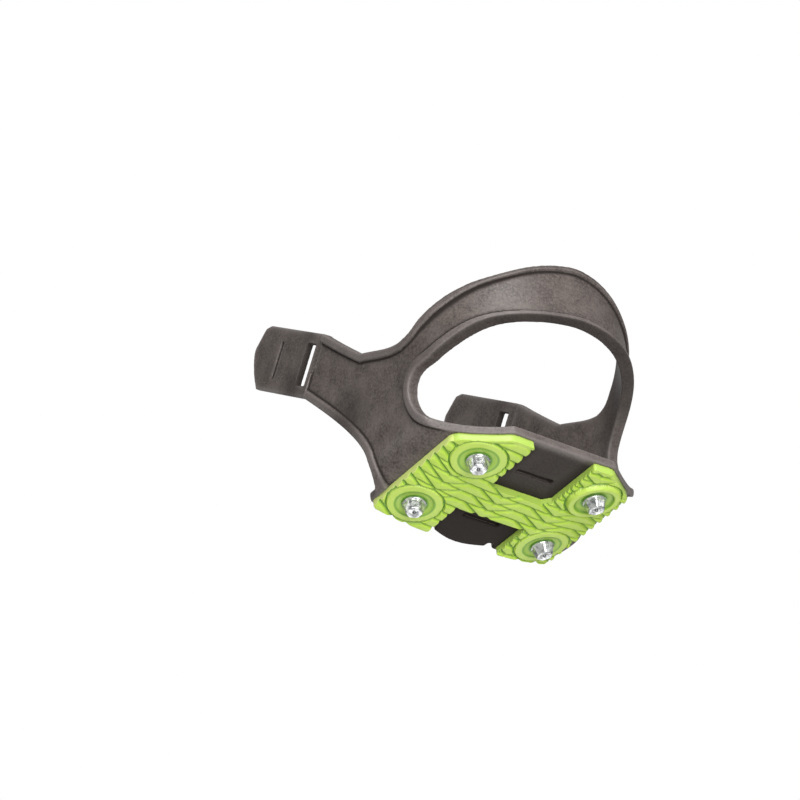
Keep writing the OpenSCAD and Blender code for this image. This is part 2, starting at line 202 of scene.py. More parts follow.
def moulded(name, meshes, form, material, reshape=None, shadow=None):
    # a moulded rubber piece: closed skin, worn edges, pale crests and painted shade in its creases
    skin = skinOf(meshes, form["voxel"] * mm)
    edges = edgesOf(skin)
    points = relaxed(pointsOf(skin), edges, form["softRounds"])
    if reshape:
        points = reshape(points / mm, form) * mm
    skin.vertices.foreach_set("co", points.ravel())
    skin.update()
    weight = np.clip(bendOf(skin, form["bendRounds"]) / (form["bendSize"] * mm), 0, 1)
    for step in range(form["spreadRounds"]):
        weight = np.maximum(weight, neighbourMean(weight, edges))
    for spot, reach in form["softSpots"]:
        near = 1 - np.linalg.norm(points - np.array(spot) * mm, axis=1) / (reach * mm)
        points = softened(points, edges, np.clip(near * 2, 0, 1), form["spotRounds"])
    points = softened(points, edges, weight, form["edgeRounds"])
    skin.vertices.foreach_set("co", points.ravel())
    skin.update()
    crest = bendOf(skin, form["crestRounds"]) / (form["crestSize"] * mm)
    crease = np.clip(-bendOf(skin, form["bendRounds"]) / (form["creaseSize"] * mm), 0, 1)
    if shadow:
        crease = np.maximum(crease, shadow(points / mm))
    # edge: pale crests, partly rubbed wear and partly painted highlight; hollow: painted shade in the
    # creases and the given shadow zones
    storeShade(skin, "edge", np.clip(crest, 0, 1) * (1 - crease))
    storeShade(skin, "hollow", crease)
    return dressed(name, skin, material)


def dressed(name, skin, material):
    skin.name = name
    piece = bpy.data.objects.new(name, skin)
    bpy.context.scene.collection.objects.link(piece)
    skin.materials.clear()
    skin.materials.append(material)
    skin.polygons.foreach_set("use_smooth", np.ones(len(skin.polygons), bool))
    print(name, len(skin.polygons), "faces")
    return piece


# camera at the photograph's angle: from the left, behind and below

cameraSet = {
    "eye": (-605.2, -674.3, -603.4),
    "aim": (-36.0, 5.3, 24.6),
    "up": (-0.2671, -0.4937, 0.8276),
    "lens": 157.3,
    "sensor": 36.0,
}


def makeCamera(given):
    data = bpy.data.cameras.new("photoCamera")
    data.lens = given["lens"]
    data.sensor_width = given["sensor"]
    data.clip_start = 0.05
    data.clip_end = 20
    camera = bpy.data.objects.new("photoCamera", data)
    bpy.context.scene.collection.objects.link(camera)
    eye = Vector(given["eye"]) * mm
    back = (eye - Vector(given["aim"]) * mm).normalized()
    side = Vector(given["up"]).cross(back).normalized()
    up = back.cross(side)
    turn = Matrix((side, up, back)).transposed()
    camera.matrix_world = Matrix.Translation(eye) @ turn.to_4x4()
    bpy.context.scene.camera = camera


makeCamera(cameraSet)
print("camera placed")


# materials: pattern sizes in millimetres

rubberLook = {
    "body": "#4e4542",
    "light": "#726964",
    "edge": "#7d7674",
    "dark": "#231c19",
    "grain": 0.75,  # a blasted mould's grain is finer, drawn this coarse so that it shows
    "cloud": 7.0,
    "patch": 0.48,
    "roughness": 0.45,
    "glossSwing": 0.03,
    "dullHollow": 0.5,
    "pebble": 0.15,  # depth of the grain
}


def mouldedRubber(name, look):
    # natural rubber from a blasted steel mould: matte and cloudy, with a fine pebble,
    # pale edges that are partly rubbed wear and partly painted highlight, and dull hollows darkened
    # with painted shade
    material, tree = newMaterial(name)
    place = addNode(tree, "ShaderNodeTexCoord").outputs["Object"]
    grain = addNode(tree, "ShaderNodeTexNoise", {
        "Vector": place, "Scale": perMetre(look["grain"]), "Detail": 2.0, "Roughness": 0.6})
    cloud = addNode(tree, "ShaderNodeTexNoise", {
        "Vector": place, "Scale": perMetre(look["cloud"]), "Detail": 4.0, "Roughness": 0.55})
    edge = addNode(tree, "ShaderNodeAttribute", attribute_name="edge").outputs["Fac"]
    hollow = addNode(tree, "ShaderNodeAttribute", attribute_name="hollow").outputs["Fac"]
    mottle = addNode(tree, "ShaderNodeMapRange", {
        "Value": grain.outputs["Fac"], "From Min": 0.32, "From Max": 0.72}).outputs["Result"]
    patches = addNode(tree, "ShaderNodeMapRange", {
        "Value": cloud.outputs["Fac"], "From Min": 0.38, "From Max": 0.66,
        "To Max": look["patch"]}).outputs["Result"]
    colour = addNode(tree, "ShaderNodeMix", {
        0: mottle, 6: linear(look["dark"]), 7: linear(look["light"])}, data_type="RGBA").outputs[2]
    colour = addNode(tree, "ShaderNodeMix", {
        0: 0.4, 6: colour, 7: linear(look["body"])}, data_type="RGBA").outputs[2]
    colour = addNode(tree, "ShaderNodeMix", {
        0: patches, 6: colour, 7: linear(look["light"])}, data_type="RGBA").outputs[2]
    # pale edges: partly rubbed wear, partly painted highlight
    colour = addNode(tree, "ShaderNodeMix", {
        0: edge, 6: colour, 7: linear(look["edge"])}, data_type="RGBA").outputs[2]
    # painted shade: creases, notch floors, strap beads and broad patches go dark
    colour = addNode(tree, "ShaderNodeMix", {
        0: hollow, 6: colour, 7: linear(look["dark"])}, data_type="RGBA").outputs[2]
    gloss = addNode(tree, "ShaderNodeMapRange", {
        "Value": cloud.outputs["Fac"], "From Min": 0.3, "From Max": 0.7,
        "To Min": look["roughness"] - look["glossSwing"],
        "To Max": look["roughness"] + look["glossSwing"]}).outputs["Result"]
    gloss = addNode(tree, "ShaderNodeMath", {
        0: hollow, 1: look["dullHollow"], 2: gloss}, operation="MULTIPLY_ADD").outputs[0]
    pebble = addNode(tree, "ShaderNodeBump", {
        "Height": grain.outputs["Fac"], "Strength": 0.5, "Distance": look["pebble"] * mm})
    shader = addNode(tree, "ShaderNodeBsdfPrincipled", {
        "Base Color": colour, "Roughness": gloss, "Normal": pebble.outputs["Normal"],
        "IOR": 1.52, "Specular IOR Level": 0.4})
    addNode(tree, "ShaderNodeOutputMaterial", {"Surface": shader.outputs["BSDF"]})
    return material


limeLook = {
    "body": "#afd140",
    "light": "#d6e682",
    "paintedShade": "#5a9428",
    "grain": 0.5,  # coarser than the real skin, so that it shows
    "cloud": 5.0,
    "patch": 0.25,
    "roughness": 0.42,
    "glossSwing": 0.06,
    "pebble": 0.06,  # depth of the grain
}


def mouldedTpe(name, look):
    # thermoplastic rubber from a polished mould: clear lime green, satin,
    # painted highlight on crests, lit walls and rims, and painted shade as darker green in the grooves
    # and dishes
    material, tree = newMaterial(name)
    place = addNode(tree, "ShaderNodeTexCoord").outputs["Object"]
    grain = addNode(tree, "ShaderNodeTexNoise", {
        "Vector": place, "Scale": perMetre(look["grain"]), "Detail": 2.0})
    cloud = addNode(tree, "ShaderNodeTexNoise", {
        "Vector": place, "Scale": perMetre(look["cloud"]), "Detail": 3.0})
    edge = addNode(tree, "ShaderNodeAttribute", attribute_name="edge").outputs["Fac"]
    hollow = addNode(tree, "ShaderNodeAttribute", attribute_name="hollow").outputs["Fac"]
    tone = addNode(tree, "ShaderNodeMapRange", {
        "Value": cloud.outputs["Fac"], "From Min": 0.3, "From Max": 0.7,
        "To Max": look["patch"]}).outputs["Result"]
    colour = addNode(tree, "ShaderNodeMix", {
        0: tone, 6: linear(look["body"]), 7: linear(look["light"])}, data_type="RGBA").outputs[2]
    # painted highlight on crests, lit walls and rims
    colour = addNode(tree, "ShaderNodeMix", {
        0: edge, 6: colour, 7: linear(look["light"])}, data_type="RGBA").outputs[2]
    # painted shade in the grooves and dishes
    colour = addNode(tree, "ShaderNodeMix", {
        0: hollow, 6: colour, 7: linear(look["paintedShade"])}, data_type="RGBA").outputs[2]
    gloss = addNode(tree, "ShaderNodeMapRange", {
        "Value": cloud.outputs["Fac"], "From Min": 0.3, "From Max": 0.7,
        "To Min": look["roughness"] - look["glossSwing"],
        "To Max": look["roughness"] + look["glossSwing"]}).outputs["Result"]
    skin = addNode(tree, "ShaderNodeBump", {
        "Height": grain.outputs["Fac"], "Strength": 0.15, "Distance": look["pebble"] * mm})
    shader = addNode(tree, "ShaderNodeBsdfPrincipled", {
        "Base Color": colour, "Roughness": gloss, "Normal": skin.outputs["Normal"],
        "IOR": 1.5, "Specular IOR Level": 0.5})
    addNode(tree, "ShaderNodeOutputMaterial", {"Surface": shader.outputs["BSDF"]})
    return material


zincLook = {
    "body": "#e6e8e8",
    "shade": "#8f9294",
    "grain": 0.35,  # tool marks are finer, drawn this coarse so that they show
    "cloud": 1.3,
    "roughness": 0.2,
    "metal": 0.75,  # under a bare metal's 1, matched to the milky facets
}

carbideLook = {
    "body": "#8b8c8f",
    "shade": "#66676a",
    "grain": 0.2,
    "cloud": 0.8,
    "roughness": 0.35,
    "metal": 1.0,
}


def platedMetal(name, look):
    # turned steel under bright zinc, or sintered carbide: mirror-like facets
    # with a fine tool grain and grey patches painted in as dark reflections
    material, tree = newMaterial(name)
    place = addNode(tree, "ShaderNodeTexCoord").outputs["Object"]
    grain = addNode(tree, "ShaderNodeTexNoise", {
        "Vector": place, "Scale": perMetre(look["grain"]), "Detail": 3.0})
    cloud = addNode(tree, "ShaderNodeTexNoise", {
        "Vector": place, "Scale": perMetre(look["cloud"]), "Detail": 2.0})
    # grey patches: painted reflection of dark surroundings
    patches = addNode(tree, "ShaderNodeMapRange", {
        "Value": cloud.outputs["Fac"], "From Min": 0.4, "From Max": 0.68}).outputs["Result"]
    colour = addNode(tree, "ShaderNodeMix", {
        0: patches, 6: linear(look["body"]), 7: linear(look["shade"])}, data_type="RGBA").outputs[2]
    gloss = addNode(tree, "ShaderNodeMapRange", {
        "Value": grain.outputs["Fac"], "From Min": 0.3, "From Max": 0.7,
        "To Min": look["roughness"] * 0.7, "To Max": look["roughness"] * 1.4}).outputs["Result"]
    skin = addNode(tree, "ShaderNodeBump", {
        "Height": cloud.outputs["Fac"], "Strength": 0.25, "Distance": 0.15 * mm})
    shader = addNode(tree, "ShaderNodeBsdfPrincipled", {
        "Base Color": colour, "Roughness": gloss, "Metallic": look["metal"],
        "Normal": skin.outputs["Normal"]})
    addNode(tree, "ShaderNodeOutputMaterial", {"Surface": shader.outputs["BSDF"]})
    return material


rubber = mouldedRubber("mouldedNaturalRubber", rubberLook)
lime = mouldedTpe("limeThermoplasticRubber", limeLook)
zinc = platedMetal("brightZincSteel", zincLook)
carbide = platedMetal("sinteredCarbide", carbideLook)
print("materials made")


# harness: the CAD form as one soft skin; all lengths in millimetres

harnessForm = {
    "voxel": 0.26, "softRounds": 14, "edgeRounds": 16, "spreadRounds": 4, "spotRounds": 60,
    "bendRounds": 8, "bendSize": 0.2, "creaseSize": 0.09, "crestRounds": 36, "crestSize": 0.6,
    "softSpots": [((-40.5, 26.5, 0.5), 6.5), ((40.5, 26.5, 0.5), 6.5)],  # place and reach
    # the back strap's edges in the CAD form
    "backY": 43.0, "topSide": 38.6, "topBack": 55.8, "topRise": 1.9,
    "openZ": 19.0, "openLong": 37.0, "openHigh": 16.8, "openEnd": 0.97, "beadW": 2.8,
    # share of the beads' width that stays on the worn strap
    "slimTop": 0.38, "slimLow": 0.55, "slimFrom": 6.0, "slimOver": 14.0, "beadMost": 0.8,
    # how far the strap stretches upwards, and downwards on the left
    "lift": 3.1, "liftFrom": 6.0, "liftOver": 30.0, "liftStart": 0.25, "liftTail": (0.8, 0.4, 0.5),
    "liftRight": 0.8, "leanOver": 12.0,
    "drop": 3.4, "dropFrom": 6.5, "dropOver": 9.0, "dropEnd": 18.0, "dropFade": 16.0, "dropKept": 0.3,
    # painted shade zones
    "topShade": 0.35, "topBead": 1.2, "underShade": 0.6, "underBead": 0.5, "beadSoft": 0.4,
    "heelHalf": 11.7, "heelY": -3.0, "rearY": -27.0, "rearFade": 3.0,
    "toeHalf": 13.5, "toeY": 10.8, "under": -2.3, "overlap": 0.5,
    "shade": 0.75, "wallShade": 0.22, "wallReach": 5.0,
    "shadePatches": [(25.0, 29.0, 16.0, 0.58), (-10.0, 31.0, 17.0, 0.34)],  # y, z, reach and share
}


def strapEdges(x, y, form):
    # heights and slopes of the back strap's two edges,
    # and how far the worn strap stretches past them
    back = np.clip(-y, 0, None)
    rise = form["topBack"] - form["topSide"]
    top = form["topSide"] + rise * (back / form["backY"]) ** form["topRise"]
    topSlope = rise * form["topRise"] / form["backY"] * (back / form["backY"]) ** (form["topRise"] - 1)
    across = np.clip((form["backY"] - back) / form["openLong"], 0, form["openEnd"])
    low = form["openZ"] + form["openHigh"] * np.sqrt(1 - across ** 2)
    lowSlope = form["openHigh"] / form["openLong"] * across / np.sqrt(1 - across ** 2)
    t = np.clip(back - form["liftFrom"], 0, None) / form["liftOver"]
    toLeft = -np.tanh(x / form["leanOver"])
    left = np.maximum(toLeft, 0)
    tailFrom, tailOver, tailShare = form["liftTail"]
    lift = form["lift"] * np.sin(math.pi * t) * eased(t / form["liftStart"])
    lift *= 1 - tailShare * eased((t - tailFrom) / tailOver)
    lift *= np.where(lift > 0, 1 - (1 - form["liftRight"]) * (1 - toLeft) / 2, left)
    drop = form["drop"] * eased((back - form["dropFrom"]) / form["dropOver"]) * left
    drop *= 1 - (1 - form["dropKept"]) * eased((back - form["dropEnd"]) / form["dropFade"])
    return back, top, topSlope, low, lowSlope, lift, drop


def harnessShadow(points):
    # painted shade: the floor between the legs of the tread is darker, most of all along the tread's
    # walls;
    # the strap's upper bead and the underside of its lower one are dark,
    # and the panels have broad patches of painted shade
    form = harnessForm
    x, y, z = np.abs(points[:, 0]), points[:, 1], points[:, 2]
    heel = np.minimum(form["heelHalf"] - x, form["heelY"] - y)
    toe = np.minimum(form["toeHalf"] - x, y - form["toeY"])
    inside = np.maximum(heel, toe)
    wall = np.maximum(eased(1 - inside / form["wallReach"]), y > form["toeY"])
    dark = form["shade"] + form["wallShade"] * wall
    dark *= eased((y - form["rearY"]) / form["rearFade"])
    dark = np.where((inside > -form["overlap"]) & (z < form["under"]), dark, 0)
    back, top, topSlope, low, lowSlope, lift, drop = strapEdges(points[:, 0], y, form)
    strap = eased((back - form["slimFrom"]) / form["slimOver"]) * (z > form["openZ"])
    upper = form["topShade"] * eased((form["topBead"] - (top + lift - z)) / form["beadSoft"])
    under = form["underShade"] * eased((form["underBead"] - (z - low + drop)) / form["beadSoft"])
    dark = np.maximum(dark, strap * np.maximum(upper, under))
    for shadeY, shadeZ, reach, share in form["shadePatches"]:
        dark = np.maximum(dark, share * eased(1 - np.hypot(y - shadeY, z - shadeZ) / reach))
    return dark


def strapFitted(points, form):
    # the beads grow thinner along the back strap and the strap stretches:
    # heights shift in the upright wall
    x, y, z = points.T
    back, top, topSlope, low, lowSlope, lift, drop = strapEdges(x, y, form)
    half = (top - low) / 2
    share = eased((back - form["slimFrom"]) / form["slimOver"])
    moved = z.copy()
    for upper, slope, slim in ((True, topSlope, form["slimTop"]),
                               (False, lowSlope, form["slimLow"])):
        depth = top - z if upper else z - low
        bead = np.minimum(form["beadW"] * np.sqrt(1 + slope ** 2), half * form["beadMost"])
        rest = slim * bead + (depth - bead) * (half - slim * bead) / (half - bead)
        shift = np.where(depth < bead, depth * slim, rest) - depth
        shift = np.where((depth > 0) & (depth < half), shift, 0) * share
        moved += -shift if upper else shift
    up = np.clip((z - low) / (top - low), 0, 1)
    moved += np.where(z > form["openZ"], lift * up - drop * (1 - up), 0)
    return np.stack((x, y, moved), 1)


harness = moulded("harness_skin", [nodes["harness"].data], harnessForm, rubber,
                  strapFitted, harnessShadow)
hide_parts("harness")
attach(harness, "harness_body")


# tread pad: a flat plate that gets its relief and is then laid on the floor's curve

treadForm = {
    "wide": 69.0, "front": 26.0, "rear": 26.8, "cutX": 15.0, "cutY": 11.0,
    "toeW": 27.0, "toeD": 15.2, "heelW": 23.4, "heelD": 23.8, "heelCut": 2.4,
    "frontRound": 0.8, "cutRound": 5.0, "notchRound": 0.7,
    # the floor's curve, which the plate is laid on
    "floorR": 93.0, "floorT": 3.0, "flatX": 12.0, "top": 2.6, "shankD": 4.1, "holeSides": 24,
    # rows of zig-zag grooves, with a straight line through each
    "pitch": 4.1, "waveL": 20.7, "fall": 7.3, "flat": 4.2, "swing": 4.5, "waveX": -4.0, "lean": 2.5,
    "waveLow": 0.4, "waveFlat": 0.12, "waveSide": 0.35, "waveRise": 1.1, "waveDeep": 0.95,
    "lineLow": 0.28, "lineFlat": 0.13, "lineSide": 0.3, "lineRise": 0.7, "lineDeep": 0.95,
    "pillow": 0.16, "pillowReach": 1.1, "endWiden": 1.0, "endReach": 1.6,
    "border": 1.0, "borderSoft": 0.8,
    # round bosses with a dish for each stud
    "bossD": 17.4, "ringGap": 0.7, "bossTop": 3.58, "dishD": 13.0, "collarD": 8.2, "bossFoot": 0.5,
    "studs": {"front_left": (-25.25, 16.5, 2.1), "front_right": (24.7, 16.5, 2.1),
              "rear_left": (-22.45, -12.5, 2.35), "rear_right": (22.6, -12.5, 2.35)},  # x, y and seat
    "voxel": 0.2, "softRounds": 3, "bendRounds": 5, "bendSize": 0.11,
    "wallShares": (0.05, 0.97), "sideReach": 0.5,  # what counts as wall, and as side wall
    "sideLight": 1.0, "rearLight": 0.4, "rearShade": 0.3, "ringLight": 0.2,
}


def filleted(corners):
    # outline of corner points, each given as x, y and the radius that rounds it
    outline = []
    for i, (x, y, r) in enumerate(corners):
        here = np.array((x, y))
        back = np.array(corners[i - 1][:2]) - here
        ahead = np.array(corners[(i + 1) % len(corners)][:2]) - here
        back, ahead = back / np.linalg.norm(back), ahead / np.linalg.norm(ahead)
        half = math.acos(float(np.clip(back @ ahead, -1, 1))) / 2
        middle = here + (back + ahead) / np.linalg.norm(back + ahead) * r / math.sin(half)
        first = here + back * r / math.tan(half) - middle
        last = here + ahead * r / math.tan(half) - middle
        a0 = math.atan2(first[1], first[0])
        turn = (math.atan2(last[1], last[0]) - a0 + math.pi) % (2 * math.pi) - math.pi
        steps = max(2, round(abs(turn) * 6))
        for k in range(steps + 1):
            a = a0 + turn * k / steps
            outline.append((middle[0] + r * math.cos(a), middle[1] + r * math.sin(a)))
    return outline


def plateOf(outline, holes, height):
    # closed flat plate with round holes
    loops = [[Vector((x, y, 0)) for x, y in loop] for loop in [outline] + holes]
    flat = [p for loop in loops for p in loop]
    count = len(flat)
    faces = []
    for a, b, c in tessellate_polygon(loops):
        faces += [(a, b, c), (a + count, c + count, b + count)]
    first = 0
    for loop in loops:
        for k in range(len(loop)):
            a, b = first + k, first + (k + 1) % len(loop)
            faces.append((a, b, b + count, a + count))
        first += len(loop)
    mesh = bpy.data.meshes.new("plate")
    mesh.from_pydata([(p.x * mm, p.y * mm, z * mm) for z in (0, height) for p in flat], [], faces)
    return mesh


def groove(distance, flat, side, rise=None):
    # 1 in a groove's floor, 0 beside it, with soft flanks; the toe's flank may be longer
    width = np.where(distance > 0, rise or side, side)
    return (1 - np.clip((np.abs(distance) - flat) / width, 0, 1)) ** 1.5


def rowOffset(y, pitch):
    return np.mod(y + pitch / 2, pitch) - pitch / 2


def treadHeight(x, y, form, studs):
    # height of the tread over the floor, painted shade in the grooves, round the collars
    # and at the dishes' walls, and painted highlight on the bosses' rims
    swing, pitch = form["swing"], form["pitch"]
    ends = [0, form["fall"], form["fall"] + form["flat"], form["waveL"]]
    along = np.mod(x - form["waveX"], form["waveL"])
    wave = np.interp(along, ends, [0, -swing, -swing, 0])
    slope = np.select([along < ends[1], along < ends[2]], [swing / ends[1], 0],
                      swing / (ends[3] - ends[2]))
    level = y - x * math.tan(math.radians(form["lean"]))
    zigzag = rowOffset(level - wave + form["waveLow"], pitch) / np.sqrt(1 + slope ** 2)
    widen = 1 + form["endWiden"] * eased(1 - (form["wide"] / 2 - np.abs(x)) / form["endReach"])
    straight = rowOffset(level + swing + form["lineLow"], pitch)
    waves = groove(zigzag / widen, form["waveFlat"], form["waveSide"], form["waveRise"])
    lines = groove(straight, form["lineFlat"], form["lineSide"], form["lineRise"])
    drop = np.maximum(form["waveDeep"] * waves, form["lineDeep"] * lines)
    fromRear = y + form["rear"]
    cutX, cutY = form["cutX"], form["cutY"]
    fromCut = cutX * (fromRear - cutY) - cutY * (np.abs(x) - form["wide"] / 2)
    fromCut = fromCut / math.hypot(cutX, cutY)
    drop = drop * eased((np.minimum(fromRear, fromCut) - form["border"]) / form["borderSoft"])
    nearest = np.minimum(np.abs(zigzag), np.abs(straight))
    pillow = form["pillow"] * groove(nearest, 0, form["pillowReach"])
    height = form["top"] - np.maximum(drop, pillow)
    paintedShade = (drop / form["waveDeep"]) ** 2
    pale = np.zeros_like(x)
    radius, ring = form["bossD"] / 2, form["ringGap"]
    dish, foot = form["dishD"] / 2, form["collarD"] / 2
    for sx, sy, floor in studs:
        r = np.hypot(x - sx, y - sy)
        moat = groove(r - radius - ring / 2, ring * 0.2, ring * 0.45)
        height = np.minimum(height, form["top"] - form["waveDeep"] * moat)
        paintedShade = np.maximum(paintedShade, moat)
        top = form["bossTop"]
        # the boss from its middle outwards: seat, dish, the dish's wall, rim and outer flank
        reach, levels = zip((0, floor), (foot, floor), (foot + 1.0, floor + 0.1),
                            (dish - 0.7, floor + 0.3), (dish - 0.35, floor + 0.5),
                            (dish, top - 0.12), (dish + 0.3, top), (radius - 0.7, top),
                            (radius - 0.3, top - 0.3), (radius, top - 1.6))
        lean = math.copysign((abs(sx) - form["flatX"]) / form["floorR"], sx)
        r = np.hypot(x - sx - lean * (top - form["top"] + form["bossFoot"]), y - sy)
        boss = np.interp(r, reach, levels) + np.where(r > foot, (x - sx) ** 2 / (2 * form["floorR"]), 0)
        inside = r < radius
        height = np.where(inside, boss, height)
        # painted shade: darker green round the collar and at the dish's wall
        steps, dishShades = zip((0, 0.95), (foot, 0.95), (foot + 0.4, 0.4), (dish - 1.0, 0.35),
                            (dish - 0.5, 0.8), (dish - 0.15, 0.8), (dish + 0.1, 0))
        paintedShade = np.where(inside, np.interp(r, steps, dishShades), paintedShade)
        # painted highlight on the boss's rim
        pale = np.maximum(pale, form["ringLight"] * inside * eased((r - dish) / 0.4))
    return height, paintedShade, pale


def makeTread(form, material):
    halfW, front, rear = form["wide"] / 2, form["front"], -form["rear"]
    toe, heel, cut = form["toeW"] / 2, form["heelW"] / 2, form["heelCut"]
    toeY, heelY, notch = front - form["toeD"], rear + form["heelD"], form["notchRound"]
    left = [(-toe, toeY, notch), (-toe, front, notch), (-halfW, front, form["frontRound"]),
            (-halfW, rear + form["cutY"], form["cutRound"]),
            (-halfW + form["cutX"], rear, form["cutRound"]),
            (-heel, rear, notch), (-heel, heelY - cut, notch), (-heel + cut, heelY, notch)]
    right = [(-x, y, r) for x, y, r in reversed(left)]
    studs = list(form["studs"].values())
    sides = form["holeSides"]
    turns = [2 * math.pi * k / sides for k in range(sides)]
    hole = form["shankD"] / 2
    holes = [[(sx + hole * math.cos(a), sy + hole * math.sin(a)) for a in turns]
             for sx, sy, floor in studs]
    plate = plateOf(filleted(left + right), holes, form["top"])
    skin = skinOf([plate], form["voxel"] * mm)
    bpy.data.meshes.remove(plate)
    points = relaxed(pointsOf(skin), edgesOf(skin), form["softRounds"]) / mm
    x, y, share = points[:, 0], points[:, 1], np.clip(points[:, 2] / form["top"], 0, 1)
    height, paintedShade, pale = treadHeight(x, y, form, studs)
    out = form["floorR"] + share * height
    bent = np.maximum(np.abs(x) - form["flatX"], 0)
    z = form["floorR"] - form["floorT"] - np.sqrt(out ** 2 - bent ** 2)
    skin.vertices.foreach_set("co", (np.stack((x, y, z), 1) * mm).ravel())
    skin.update()
    bend = np.clip(bendOf(skin, form["bendRounds"]) / (form["bendSize"] * mm), 0, 1)
    wallLow, wallHigh = form["wallShares"]
    wall = (share > wallLow) & (share < wallHigh)
    side = wall & (np.abs(x) > halfW - form["sideReach"])
    # painted light on the walls, fullest on the side walls; painted highlight on convex edges and rims;
    # painted shade on the rear walls, in grooves and dishes
    light = np.where(side, form["sideLight"], form["rearLight"])
    storeShade(skin, "edge", np.where(wall, light, np.maximum(bend, pale)))
    storeShade(skin, "hollow", np.where(wall, form["rearShade"] * (1 - side), paintedShade))
    return dressed("tread_skin", skin, material)


tread = makeTread(treadForm, lime)
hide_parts("tread_pad")
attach(tread, "harness_body")


# pull tabs: each one runs on through its fold into the arm of the side panel

tabForm = {
    "voxel": 0.3, "softRounds": 8, "edgeRounds": 4, "spreadRounds": 4,
    "bendRounds": 7, "bendSize": 0.25, "creaseSize": 0.12, "crestRounds": 30, "crestSize": 0.5,
    "softSpots": [],
    # painted shade and darker zones, as distances out from the fold
    "slot": (2.4, 7.4, 7.0), "slotRim": 0.3, "slotDark": 0.85,
    "line": (23.0, 0.55, 6.4), "lineDark": 0.9,
    "darkening": 0.4, "darkeningOver": 9.0, "corner": (10.0, -7.0, 11.0, 0.6),
    "middle": 0.12, "middleIn": 5.0, "tabL": 39.8, "tabHalf": 10.9,
    # the web that carries the tab on through its fold
    "webIn": 3.0, "webOut": 1.5, "webThick": 2.2, "webWide": 21.6, "turn": 1.4,
}


def makeTab(side, form):
    joint = joints[side + "_tab_bend"]
    pivot = Vector(joint["pos_m"])
    across = Vector(joint["axis"])
    if across.z < 0:
        across = -across
    along = across.cross(Vector((1, 0, 0)))
    work = bmesh.new()
    bmesh.ops.create_cube(work, size=1.0)
    lengths = (form["webThick"], form["webIn"] + form["webOut"], form["webWide"])
    middle = pivot + along * (form["webOut"] - form["webIn"]) / 2 * mm
    axes = (Vector((1, 0, 0)), along, across)
    for vertex in work.verts:
        local = [c * size * mm for c, size in zip(vertex.co, lengths)]
        vertex.co = middle + sum((axis * c for axis, c in zip(axes, local)), Vector())
    web = bpy.data.meshes.new("web")
    work.to_mesh(web)
    work.free()

    def tabShadow(points):
        # painted shade: dark slot walls, a dark pressed line, shade that fades from the slot outwards
        # and a dark patch low beside the slot; also a slightly darker middle
        rel = points - np.array(pivot) / mm
        out, high = rel @ np.array(along), rel @ np.array(across)
        cross = np.abs(high)
        inner, outer, half = form["slot"]
        rim = form["slotRim"]
        near = (out > inner - rim) & (out < outer + rim) & (cross < half + rim)
        lineAt, lineHalf, lineLong = form["line"]
        outside = np.abs(points[:, 0]) > abs(pivot.x) / mm
        line = (np.abs(out - lineAt) < lineHalf) & (cross < lineLong) & outside
        darkening = form["darkening"] * eased(out / outer) * (1 - eased((out - outer) / form["darkeningOver"]))
        fromEdge = np.minimum(np.minimum(form["tabL"] - out, form["tabHalf"] - cross), out)
        darkening = np.maximum(darkening, form["middle"] * eased(fromEdge / form["middleIn"]))
        cornerOut, cornerHigh, reach, dark = form["corner"]
        corner = eased(1 - np.hypot(out - cornerOut, high - cornerHigh) / reach)
        darkening = np.maximum(darkening, dark * corner * (out > 0))
        return np.maximum(np.maximum(near * form["slotDark"], line * form["lineDark"]), darkening)

    piece = moulded("pull_tab_skin_" + side, [nodes["pull_tab_" + side].data, web], form, rubber,
                    shadow=tabShadow)
    bpy.data.meshes.remove(web)
    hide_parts("pull_tab_" + side)
    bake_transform(piece)


for side in ("left", "right"):
    makeTab(side, tabForm)
print("pull tabs made")


# studs: round collar, six flats and a cone, round shank

studForm = {
    "collarD": 7.7, "collarT": 0.9, "collarRound": 0.35,
    "footD": 7.3, "topD": 5.6, "crownH": 3.0, "flatShare": 0.92, "topRound": 0.45, "endDip": 0.25,
    "tipD": 0.9, "tipOut": 0.15, "tipShares": (0.8, 0.4), "tipBend": 0.1, "tipCrown": 0.03,
    "holeDeep": 1.5, "holeR": 0.1, "shankD": 4.0, "shankH": 4.2, "shankR": 0.2, "seam": 0.02,
    "melt": 0.07, "round": 144, "crownSteps": 18, "bendSteps": 6, "endFlats": 4,
    "turns": {"front_left": 0.0, "front_right": 26.0, "rear_left": 4.0, "rear_right": 30.0},
}


def studRing(form, height, radius, flats, turn):
    # one ring of points; where flats is true six sides cut the cone
    ring = []
    for i in range(form["round"]):
        angle = 2 * math.pi * i / form["round"]
        r = radius
        if flats:
            off = (angle - turn + math.pi / 6) % (math.pi / 3) - math.pi / 6
            side = form["flatShare"] * radius / math.cos(off)
            melt = form["melt"]
            r = -melt * math.log(math.exp(-radius / melt) + math.exp(-side / melt))
        ring.append((r * math.cos(angle), r * math.sin(angle), height))
    return ring


